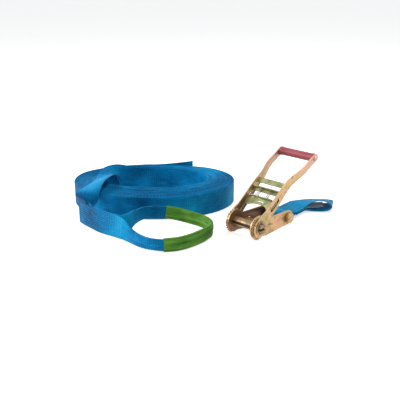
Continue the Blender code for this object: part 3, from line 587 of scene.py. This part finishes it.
def spring_finish():
    """Bare brown steel wire."""
    made = Finish("spring_wire", Roughness=0.3, Metallic=1.0)
    cloud = made.noise(made.place(), scale=300, detail=2)
    made.set(Base_Color=made.ramp(cloud, spring_stops))
    return made.material


def alone(obj):
    """Selects one object and makes it the active one."""
    bpy.ops.object.select_all(action="DESELECT")
    obj.select_set(True)
    bpy.context.view_layer.objects.active = obj


def dress(obj, finish, body, nodes=(), smooth=40):
    """Applies a piece's place and modifiers, and gives it its finish and its body.

    nodes are the CAD nodes that it replaces, and smooth is the angle under which it is smooth.
    """
    alone(obj)
    bpy.ops.object.transform_apply(location=True, rotation=True, scale=True)
    for step in list(obj.modifiers):
        bpy.ops.object.modifier_apply(modifier=step.name)
    obj.data.materials.clear()
    obj.data.materials.append(finish)
    bpy.ops.object.shade_smooth_by_angle(angle=math.radians(smooth))
    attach(obj, body)
    if nodes:
        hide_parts(*nodes)
    return obj


def bevel(piece, width, segments, limit=30):
    """Breaks the edges that are sharper than a limit in degrees."""
    edge = piece.modifiers.new("edges", "BEVEL")
    edge.width = width
    edge.segments = segments
    edge.limit_method = "ANGLE"
    edge.angle_limit = math.radians(limit)


class Route:
    """A strip's course: its middle line, directions across and out of its face, and its size."""

    def __init__(self, centres, across, widths, thicknesses):
        self.centres = np.array(centres)
        self.widths = np.array(widths)
        self.thicknesses = np.array(thicknesses)
        ahead = np.gradient(self.centres, axis=0)
        self.along = ahead / np.linalg.norm(ahead, axis=1)[:, None]
        across = np.array(across, float)
        across = across - (across * self.along).sum(1)[:, None] * self.along
        self.across = across / np.linalg.norm(across, axis=1)[:, None]
        self.out = np.cross(self.along, self.across)
        steps = np.linalg.norm(np.diff(self.centres, axis=0), axis=1)
        self.travel = np.concatenate(([0.0], np.cumsum(steps)))

    @property
    def length(self):
        return float(self.travel[-1])

    def at(self, travel, share, side):
        """A point on one face and the way out of that face.

        share is -1 to 1 across the width, and side is 1 for the face in front and -1 for the back.
        """
        def read(values):
            return Vector([np.interp(travel, self.travel, column) for column in values.T])

        across, out = read(self.across).normalized(), read(self.out).normalized()
        width = float(np.interp(travel, self.travel, self.widths))
        thickness = float(np.interp(travel, self.travel, self.thicknesses))
        point = read(self.centres) + across * (share * width / 2) + out * (side * thickness / 2)
        return point, out * side


def smooth_rows(rows, steps):
    """Rows of numbers on a smooth curve through the given ones."""
    path = [np.array(row, float) for row in rows]
    path = [2 * path[0] - path[1], *path, 2 * path[-1] - path[-2]]
    made = []
    for i in range(1, len(path) - 2):
        a, b, c, d = path[i - 1 : i + 3]
        for k in range(steps):
            t = k / steps
            linear = 2 * b + (c - a) * t
            curved = (2 * a - 5 * b + 4 * c - d) * t**2 + (3 * b - a - 3 * c + d) * t**3
            made.append((linear + curved) / 2)
    made.append(path[-2])
    return np.array(made)


def section(groove):
    """A flat strip's section as shares of its half width and thickness, its selvedges rounded.

    A groove opens the lower edge, where a strip folded along its middle shows its two plies.
    """
    points = [(share, 1.0) for share in face_shares] + list(edge_shares)
    points += [(share, -1.0) for share in reversed(face_shares)]
    points += [(-share, -height) for share, height in edge_shares]
    points[-2] = (-1.0 + groove, 0.0)
    return points


def band(name, route, groove=None):
    """A strip that follows a route, as one closed mesh with a UV map in metres."""
    rings, ring_uvs = [], []
    for i, centre in enumerate(route.centres):
        half_width = route.across[i] * route.widths[i] / 2
        half_thickness = route.out[i] * route.thicknesses[i] / 2
        points = section(groove(i) if groove else 0.0)
        rings.append([centre + half_width * s + half_thickness * n for s, n in points])
        reach = route.widths[i] / 2
        across = [reach * s + webbing_width / 2 for s, _ in section(0)]
        ring_uvs.append([(u, route.travel[i]) for u in across])
    count = len(rings[0])
    vertices = [tuple(p) for ring in rings for p in ring]
    faces, uvs = [], []
    for i in range(len(rings) - 1):
        for k in range(count):
            after = (k + 1) % count
            corners = ((i, k), (i, after), (i + 1, after), (i + 1, k))
            faces.append([r * count + c for r, c in corners])
            uvs.extend(ring_uvs[r][c] for r, c in corners)
    for i, order in ((0, range(count - 1, -1, -1)), (len(rings) - 1, range(count))):
        faces.append([i * count + c for c in order])
        uvs.extend(ring_uvs[i][c] for c in order)
    return mesh_piece(name, vertices, faces, uvs)


def mesh_piece(name, vertices, faces, uvs=None):
    """A new object of these faces, turned outwards, with a UV map if it has one."""
    mesh = bpy.data.meshes.new(name)
    mesh.from_pydata(vertices, [], faces)
    if uvs is not None:
        layer = mesh.uv_layers.new(name="UVMap")
        layer.data.foreach_set("uv", np.array(uvs, np.float32).ravel())
    mesh.validate()
    obj = bpy.data.objects.new(name, mesh)
    bpy.context.scene.collection.objects.link(obj)
    alone(obj)
    bpy.ops.object.mode_set(mode="EDIT")
    bpy.ops.mesh.select_all(action="SELECT")
    bpy.ops.mesh.normals_make_consistent(inside=False)
    bpy.ops.object.mode_set(mode="OBJECT")
    return obj


def coil_course():
    """The middle line and thickness of the turns, wound round an oval, and of the loose tail."""
    half_length = coil_outer_half_length - coil_band_side
    band_mean = (coil_band_near + coil_band_far) / 2
    band_lean = (coil_band_near - coil_band_far) / 2
    half_depth = coil_outer_half_depth - band_mean
    centre = np.array((coil_centre_x, coil_outer_centre_y + band_lean))
    long_root, short_root = math.sqrt(half_length), math.sqrt(half_depth)
    last = coil_turns * 2 * math.pi + coil_inner_end_angle - coil_outer_end_angle
    count = round(last / (2 * math.pi) * coil_points_per_turn)
    centres, thicknesses = [], []
    for i in range(count + 1):
        wound = last * i / count
        share = wound / (2 * math.pi * coil_turns)
        angle = coil_inner_end_angle - wound
        cosine, sine = math.cos(angle), math.sin(angle)
        oval = np.array((long_root * cosine, short_root * sine))
        oval = oval / np.linalg.norm(oval) * (half_length, half_depth)
        normal = np.array((short_root * cosine, long_root * sine))
        normal = normal / np.linalg.norm(normal)
        depth = coil_band_side * cosine**2 + band_mean * sine**2 - band_lean * sine
        x, y = centre + oval + normal * depth * share
        turn = int(wound / (2 * math.pi))
        ripple = noise.noise(Vector((cosine * 2.2, sine * 2.2, turn * 7.3)))
        lift = max(0.0, turn_lift + turn_ripple * ripple)
        centres.append((x, y, webbing_width / 2 + lift))
        thicknesses.append(min(depth / coil_turns - turn_air, thickest_turn))
    start = np.array(centres[-1])
    for i in range(1, tail_steps + 1):
        share = i / tail_steps
        centres.append(start + np.array((tail_length * share, tail_spread * share**1.5, 0)))
        thicknesses.append(thicknesses[count] * (1 - share) + webbing_thickness * share)
    return centres, thicknesses


def placed(centres):
    """Places in the line's own axes, turned and moved to where the line lies."""
    return [line_place @ Vector(p) for p in centres]


def leaning(rows):
    """The way across a strip on each row: upright, or leaning to the right of its travel."""
    ahead = np.gradient(rows[:, :3], axis=0)
    made = []
    for step, lean in zip(ahead, np.radians(rows[:, 3])):
        right = Vector((step[1], -step[0], 0)).normalized()
        across = Vector((0, 0, math.cos(lean))) + right * math.sin(lean)
        made.append(line_place.to_3x3() @ across)
    return made


def line_route(rows, steps):
    """The course of the line through rows of place, lean, width and thickness."""
    rows = smooth_rows(rows, steps)
    return Route(placed(rows[:, :3]), leaning(rows), rows[:, 4], rows[:, 5])


def stitch(start, end, out, radius):
    """A short raised stitch on a face, as the rings of a slim six-sided bead."""
    along = (end - start).normalized()
    side = along.cross(out).normalized()
    rings = []
    for share, size in ((0.0, 0.35), (0.22, 1.0), (0.78, 1.0), (1.0, 0.35)):
        middle = start.lerp(end, share)
        ring = []
        for k in range(6):
            angle = math.pi * 2 * k / 6
            towards = side * math.cos(angle) + out * math.sin(angle) * 0.7
            ring.append(middle + towards * radius * size)
        rings.append(ring)
    return rings


def stitches(name, runs, radius):
    """Many stitches as one mesh. Each run is one stitch's start, end and way out of the face."""
    vertices, faces = [], []
    for start, end, out in runs:
        rings = stitch(start, end, out, radius)
        base = len(vertices)
        vertices.extend(tuple(p) for ring in rings for p in ring)
        for i in range(len(rings) - 1):
            for k in range(6):
                after = (k + 1) % 6
                low, high = base + i * 6, base + (i + 1) * 6
                faces.append((low + k, low + after, high + after, high + k))
        faces.append([base + k for k in reversed(range(6))])
        faces.append([base + (len(rings) - 1) * 6 + k for k in range(6)])
    return mesh_piece(name, vertices, faces)


def stitched_zone(route, first, last, shares, pitch, length, ends=True):
    """Rows of stitches on a strip's back face along a seam, and columns across its two ends."""
    spans = []
    for share in shares:
        travel = first
        while travel < last - length:
            spans.append(((travel, share), (travel + length, share)))
            travel += pitch
    if ends:
        low, high = min(shares), max(shares)
        count = int((high - low) * webbing_width / 2 / pitch)
        for travel in (first, last):
            for k in range(count):
                here = low + (high - low) * k / count
                there = here + (high - low) * 0.7 / count
                spans.append(((travel, here), (travel, there)))
    runs = []
    for start, end in spans:
        (a, out), (b, end_out) = route.at(*start, -1), route.at(*end, -1)
        runs.append((a + out * stitch_lift, b + end_out * stitch_lift, out))
    return runs


def main_line(blue, thread):
    """The coil, and the strip that leaves it, crosses it and returns round the eye to its seam."""
    centres, thicknesses = coil_course()
    up = [(0, 0, 1)] * len(centres)
    route = Route(placed(centres), up, [webbing_width] * len(centres), thicknesses)
    coil = dress(band("line_coil", route), blue, "base", ["main_line_coil"])

    route = line_route(lead_route + eye_route + near_ply_route, line_steps)

    def groove(i):
        return fold_groove * max(0.0, (route.thicknesses[i] - webbing_thickness) / fold_growth)

    line = band("line_end_with_eye", route, groove)
    nodes = ["main_line_lead", "eye_seam_end", "eye_loop"]
    dress(line, blue, "base", nodes)

    def travel(row, more=0):
        return float(route.travel[line_steps * row + more])

    near_ply = len(lead_route) + len(eye_route)
    near = travel(near_ply), travel(near_ply + near_seam_rows)
    sizes = eye_seam_pitch, eye_seam_stitch
    runs = stitched_zone(route, *near, seam_shares, *sizes)
    runs += stitched_zone(route, *map(travel, far_seam_rows), seam_shares, *sizes)
    leg = travel(len(lead_route) + sleeve_last, 4), travel(near_ply)
    runs += stitched_zone(route, *leg, (-0.15,), leg_pitch, leg_stitch, ends=False)
    made = stitches("eye_seam_stitches", runs, eye_stitch_radius)
    dress(made, thread, "base")


def eye_sleeve(green):
    """The loose cloth tube over the eye, drawn into lengthwise ridges and crumpled at the tip."""
    route = line_route(eye_route[sleeve_first : sleeve_last + 1], sleeve_steps)
    vertices, faces, uvs = [], [], []
    tip = route.length / 2
    count, around = len(route.centres), sleeve_sides
    for layer in (0, 1):
        for i in range(count):
            travel = route.travel[i]
            from_end = min(travel, route.length - travel)
            bunched = math.exp(-(((travel - tip) / sleeve_crumple_reach) ** 2))
            hem = math.exp(-((from_end / sleeve_hem_reach) ** 2))
            across, out = Vector(route.across[i]), Vector(route.out[i])
            for k in range(around):
                angle = 2 * math.pi * k / around
                c, s = math.cos(angle), math.sin(angle)
                wide = math.copysign(abs(c) ** 0.50, c) * sleeve_half_width
                deep = math.copysign(abs(s) ** 0.60, s) * sleeve_half_thickness
                ridge = noise.noise(Vector((c * 3.0, s * 4.4, travel * 7)))
                fold = noise.noise(Vector((c * 1.6 + 9, s * 1.6, travel * 55)))
                swell = sleeve_ridge * ridge + sleeve_crumple * bunched * fold
                swell -= sleeve_hem_pinch * hem
                swell = -sleeve_wall if layer else max(swell, -0.0005)
                point = Vector(route.centres[i]) + across * wide + out * deep
                point += (across * c * 0.6 + out * s) * swell
                point.z = max(point.z, 0.0002 + 0.0002 * layer)
                vertices.append(tuple(point))
    for layer in (0, 1):
        base = layer * count * around
        for i in range(count - 1):
            for k in range(around):
                after = (k + 1) % around
                corners = ((i, k), (i, after), (i + 1, after), (i + 1, k))
                faces.append([base + r * around + c for r, c in corners])
                for w, (r, _) in zip((k, k + 1, k + 1, k), corners):
                    uvs.append((sleeve_girth * w / around, route.travel[r]))
    for i in (0, count - 1):
        for k in range(around):
            after = (k + 1) % around
            outer, inner = i * around, (count + i) * around
            faces.append([outer + k, outer + after, inner + after, inner + k])
            uvs.extend([(sleeve_girth * k / around, route.travel[i])] * 4)
    sleeve = mesh_piece("eye_sleeve_cloth", vertices, faces, uvs)
    dress(sleeve, green, "base", ["eye_sleeve"], smooth=80)


def strap_rows(shares):
    """Places of the short strap's eye or tab about the strap bolt, each with its turn and roll."""
    length, height = strap_eye_length, strap_eye_height
    return [
        (side * length, seam_end + along * length, rise * height - strap_bolt_z, turn, roll)
        for side, along, rise, turn, roll in shares
    ]


def strap_route(rows, width, thickness):
    """The course of a strip through rows of place about the strap bolt, turn and roll."""
    rows = smooth_rows(rows, 8)
    centres = [(x, strap_bolt_y + y, strap_bolt_z + z) for x, y, z in rows[:, :3]]
    across = []
    for turn, roll in np.radians(rows[:, 3:]):
        level = Vector((math.cos(turn), -math.sin(turn), 0)) * math.cos(roll)
        across.append(level + Vector((0, 0, math.sin(roll))))
    return Route(centres, across, [width] * len(rows), [thickness] * len(rows))


def short_strap(blue, thread, white):
    """The ratchet's own strap round the spacer, its seam of three plies, its low eye and tab."""
    bottom = seam_height - strap_bolt_z
    middle = bottom + strap_ply
    top = middle + strap_ply
    front = seam_start * seam_front_share
    radius = strap_wrap_radius
    under = [(seam_start * y, middle - (middle + radius) * z) for y, z in strap_close_shares]
    over = [(seam_start * y, top + (radius - top) * z) for y, z in strap_close_shares]
    wrap = []
    for k in range(14):
        angle = -math.pi / 2 - (math.pi + strap_wrap_extra) * k / 13
        wrap.append((radius * math.cos(angle), radius * math.sin(angle)))
    around = [(seam_end, middle), (front, middle), *reversed(under), *wrap]
    around += [*over, (front, top), (seam_end, top)]
    close = seam_start * strap_close_shares[-1][0]
    last_ply = [(seam_end, bottom), (front, bottom), (close, bottom)]
    rows = [(0, y, z, 0, 0) for y, z in around] + strap_rows(strap_eye_shares)
    rows += [(0, y, z, 0, 0) for y, z in last_ply]
    route = strap_route(rows, webbing_width, webbing_thickness)
    strap = dress(band("ratchet_strap", route), blue, "base", ["short_strap"])

    tab_route = strap_route(strap_rows(tab_shares), tab_width, tab_thickness)
    tab = dress(band("strap_tab_blank", tab_route), white, "base", ["strap_label"])

    runs = []
    for share in strap_seam_shares:
        y = seam_start * 1.2
        while y < seam_end:
            for height, out in ((top + strap_half_ply, 1), (bottom - strap_half_ply, -1)):
                place = (share * webbing_width / 2, strap_bolt_y + y, strap_bolt_z + height)
                start = Vector(place)
                end = start + Vector((0, strap_stitch, 0))
                runs.append((start, end, Vector((0, 0, out))))
            y += strap_pitch
    made = stitches("strap_seam_stitches", runs, strap_stitch_radius)
    dress(made, thread, "base")


def handle_block(name, centre, size):
    """A block on the handle, in line with it. Its centre is given in the handle's own axes."""
    bpy.ops.object.select_all(action="DESELECT")
    bpy.ops.mesh.primitive_cube_add(
        size=1, location=handle_place @ Vector(centre), rotation=(handle_angle, 0, 0)
    )
    block = bpy.context.object
    block.name = name
    block.scale = size
    alone(block)
    bpy.ops.object.transform_apply(location=False, rotation=False, scale=True)
    return block


def recess_slot(arm):
    """Sinks a wide bed into the arm's outer face, round the slot of the release plate's ear."""
    hand = 1 if arm.name.startswith("handle_arm_right") else -1
    outer = max(abs(corner.x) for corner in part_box("release_plate"))
    middle = (slot_front + slot_back) / 2
    centre = (hand * (outer - slot_depth + cutter_depth / 2), middle, 0)
    size = (cutter_depth, slot_back - slot_front, slot_height)
    cutter = handle_block("slot_cutter", centre, size)
    alone(arm)
    cut = arm.modifiers.new("slot", "BOOLEAN")
    cut.operation = "DIFFERENCE"
    cut.solver = "EXACT"
    cut.object = cutter
    bpy.ops.object.modifier_apply(modifier=cut.name)
    bpy.data.objects.remove(cutter)
    alone(arm)


def darken_slot(arm, shade):
    """Gives the faces of the sunk bed the dark shadow material, as painted shade in the recess."""
    arm.data.materials.append(shade)
    back_to_handle = handle_place.inverted()
    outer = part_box("release_plate")[1].x
    near = 0.0002
    for face in arm.data.polygons:
        place = back_to_handle @ face.center
        along = slot_front - near < place.y < slot_back + near
        if along and abs(place.z) < slot_height / 2 + near and abs(place.x) < outer - 0.0003:
            face.material_index = 1


def mark_inward(piece):
    """Writes 1 on the faces that look towards the middle of the ratchet from its sides, or 0:
    the plating puts its painted shade on the faces with 1.
    """
    layer = piece.data.attributes.new("inward", "FLOAT", "FACE")
    marks = [float(face.normal.x * face.center.x < inward_limit) for face in piece.data.polygons]
    layer.data.foreach_set("value", marks)


def softened(node, width, finish):
    """A metal piece with its edges broken, in place of the plain solid."""
    source = frame["nodes"][node]
    piece = bpy.data.objects.new(f"{node}_finished", source.data.copy())
    bpy.context.scene.collection.objects.link(piece)
    alone(piece)
    bpy.ops.object.mode_set(mode="EDIT")
    bpy.ops.mesh.select_all(action="SELECT")
    bpy.ops.mesh.remove_doubles(threshold=0.00001)
    bpy.ops.mesh.dissolve_limited(angle_limit=math.radians(1.0))
    bpy.ops.object.mode_set(mode="OBJECT")
    if node.startswith("handle_arm"):
        recess_slot(piece)
    bevel(piece, width, segments=2, limit=35)
    bodies = frame["record"]["behaviour"]["bodies"]
    body = next(name for name, members in bodies.items() if node in members)
    dress(piece, finish, body, [node], smooth=35)
    mark_inward(piece)
    return piece


def grip(red):
    """The moulded grip: a plain round bar with a shallow step in from the collar at each end."""
    low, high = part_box("handle_grip")
    bpy.ops.object.select_all(action="DESELECT")
    bpy.ops.mesh.primitive_cylinder_add(
        vertices=40,
        radius=(high.y - low.y) / 2,
        depth=high.x - low.x,
        location=(low + high) / 2,
        rotation=(0, math.radians(90), 0),
    )
    made = bpy.context.object
    made.name = "grip_moulding"
    alone(made)
    bpy.ops.object.transform_apply(location=False, rotation=True, scale=True)
    bpy.ops.object.mode_set(mode="EDIT")
    bpy.ops.mesh.select_mode(type="FACE")
    bpy.ops.mesh.select_all(action="DESELECT")
    bpy.ops.object.mode_set(mode="OBJECT")
    for face in made.data.polygons:
        face.select = abs(face.normal.x) < 0.5
    bpy.ops.object.mode_set(mode="EDIT")
    bpy.ops.mesh.inset(thickness=grip_collar, use_even_offset=True)
    bpy.ops.mesh.inset(
        thickness=grip_step_width, depth=-grip_step_depth, use_even_offset=True
    )
    bpy.ops.mesh.subdivide(number_cuts=1)
    bpy.ops.object.mode_set(mode="OBJECT")
    bevel(made, grip_edge, segments=3)
    dress(made, red, "handle", ["handle_grip"])


def wire(name, points, radius, finish, body, nodes):
    """A round wire through the points, as a mesh."""
    line = bpy.data.curves.new(name, "CURVE")
    line.dimensions = "3D"
    line.bevel_depth = radius
    line.bevel_resolution = 3
    line.use_fill_caps = True
    spline = line.splines.new("POLY")
    spline.points.add(len(points) - 1)
    for knot, point in zip(spline.points, points):
        knot.co = (*point, 1.0)
    obj = bpy.data.objects.new(name, line)
    bpy.context.scene.collection.objects.link(obj)
    alone(obj)
    bpy.ops.object.convert(target="MESH")
    return dress(bpy.context.object, finish, body, nodes, smooth=60)


def split_pins(finish):
    """Split pins through the spindle's ends: a round eye, two legs, and their tips bent apart."""
    for word in ("left", "right"):
        low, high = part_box(f"split_pin_{word}")
        x, tip = (low.x + high.x) / 2, low.z + pin_tip_rise
        points = []
        for k in range(15):
            angle = math.radians(-60 + 300 * k / 14)
            y, z = pin_eye_radius * math.sin(angle), pin_eye_radius * math.cos(angle)
            points.append((x, spindle_y + y, z + high.z - pin_eye_drop))
        for side in (-1, 1):
            y = spindle_y + side * pin_leg_offset
            leg = [(x, y, z) for z in np.linspace(high.z - pin_leg_drop, tip, 6)]
            for share in (0.5, 1):
                bent = y + side * pin_tip_spread * share
                leg.append((x, bent, tip - pin_tip_length * share))
            points = leg[::-1] + points if side < 0 else points + leg
        name, node = f"split_pin_{word}_bent", f"split_pin_{word}"
        wire(name, points, pin_wire_radius, finish, "spindle", [node])


def release_springs(finish):
    """The two springs behind the release plate, which shorten as it is drawn back."""
    near, far = spring_ends
    for word, hand in (("left", -1), ("right", 1)):
        x = hand * spring_offset
        points = []
        count = spring_curls * spring_points_per_curl
        for k in range(count + 1):
            angle = 2 * math.pi * k / spring_points_per_curl
            open_curls = spring_curls - 2 * spring_closed_curls
            open_share = (k / count * spring_curls - spring_closed_curls) / open_curls
            eased = min(max(open_share, 0), 1)
            reach = near + spring_end_gap + (far - near - 2 * spring_end_gap) * eased
            side, rise = spring_radius * math.cos(angle), spring_radius * math.sin(angle)
            points.append(handle_place @ Vector((x + side, reach, spring_height + rise)))
        name, node = f"release_spring_{word}_wire", f"release_spring_{word}"
        made = wire(name, points, spring_wire_radius, finish, "handle", [node])
        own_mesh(made)


def tenon_heads(finish):
    """The peened ends of the two bars, outside the arms."""
    for bar, reach, thickness in bar_heads:
        for word, hand in (("left", -1), ("right", 1)):
            centre = (hand * bar_head_offset, reach, 0)
            size = (bar_head_depth, bar_head_length, thickness + bar_head_growth)
            made = handle_block(f"{bar}_bar_head_{word}", centre, size)
            bevel(made, bar_head_edge, segments=3)
            dress(made, finish, "handle")


def metal(gold, worn, green_zinc, brown, shadow):
    """All the plated pieces, each with its finish and the width of its broken edges."""
    for node, width in gold_pieces:
        piece = softened(node, width, gold)
        if node.startswith("handle_arm"):
            darken_slot(piece, shadow)
    for word in ("left", "right"):
        softened(f"ratchet_wheel_{word}", 0.0003, worn)
        softened(f"spindle_washer_{word}", 0.0003, worn)
    for node, width in green_pieces:
        softened(node, width, green_zinc)
    for node, width in brown_pieces:
        softened(node, width, brown)


def seen_rays(tree):
    """1 for the rays that show the background: the camera's own, off metal, and through glass."""
    kinds = ("Camera", "Glossy", "Transmission")
    return sum(add_node(tree, "ShaderNodeLightPath", out=f"Is {kind} Ray") for kind in kinds)


def studio():
    """A white background, a pale floor, soft lamps at a plain level, and the camera."""
    world = bpy.data.worlds.new("studio")
    bpy.context.scene.world = world
    world.use_nodes = True
    tree = world.node_tree
    tree.nodes.clear()
    seen = add_node(tree, "ShaderNodeBackground", {"Color": (1, 1, 1)})
    lit = add_node(tree, "ShaderNodeBackground", {"Color": sky_colour, "Strength": sky_strength})
    sky = add_node(tree, "ShaderNodeMixShader", {0: seen_rays(tree), 1: lit, 2: seen})
    out = tree.nodes.new("ShaderNodeOutputWorld")
    plug(tree, out.inputs["Surface"], sky)

    bpy.ops.object.select_all(action="DESELECT")
    bpy.ops.mesh.primitive_plane_add(size=60, location=(0, 0, -0.0006))
    floor = bpy.context.object
    floor.name = "floor"
    finish = Finish("floor_white", Roughness=0.9, Base_Color=floor_colour, Emission_Strength=1.0)
    glow = finish.mix(seen_rays(finish.tree), (0, 0, 0), floor_glow)
    finish.set(Emission_Color=glow)
    floor.data.materials.append(finish.material)

    for name, place, size, power in lamps:
        lamp = bpy.data.lights.new(name, "AREA")
        lamp.energy = power
        lamp.size = size
        holder = bpy.data.objects.new(name, lamp)
        bpy.context.scene.collection.objects.link(holder)
        holder.location = place
        aim = lamp_target - Vector(place)
        holder.rotation_euler = aim.to_track_quat("-Z", "Y").to_euler()

    camera = bpy.data.cameras.new("camera")
    camera.lens = view_lens
    holder = bpy.data.objects.new("camera", camera)
    bpy.context.scene.collection.objects.link(holder)
    level, rise = math.cos(view_elevation), math.sin(view_elevation)
    back = Vector((math.sin(view_azimuth) * level, -math.cos(view_azimuth) * level, rise))
    holder.location = view_target + back * view_distance
    holder.rotation_euler = (-back).to_track_quat("-Z", "Y").to_euler()
    bpy.context.scene.camera = holder
    bpy.context.scene.view_settings.view_transform = "Standard"


def build():
    studio()
    # The line's webbing is a darker copy of the strap's: painted shade on the coil and the line
    shaded_blue = webbing_finish("shaded_blue_webbing", *shaded_blue_shades)
    pale_blue = webbing_finish("pale_blue_webbing", *pale_blue_shades)
    thread = thread_finish()
    main_line(shaded_blue, thread)
    eye_sleeve(sleeve_finish())
    short_strap(pale_blue, thread, tab_finish())
    gold = zinc_finish("zinc_gold", gold_stops, 0.9)
    worn = zinc_finish("zinc_worn", worn_stops, 0.7, rough=0.3)
    green_zinc = zinc_finish("zinc_green", green_stops, 0.0, rough=0.3)
    brown = zinc_finish("zinc_brown", brown_stops, 0.4, rough=0.33)
    shadow = zinc_finish("zinc_shadow", shadow_stops, 0.0, rough=0.5)
    metal(gold, worn, green_zinc, brown, shadow)
    tenon_heads(gold)
    grip(grip_finish())
    split_pins(brown)
    release_springs(spring_finish())


build()
bpy.context.view_layer.update()
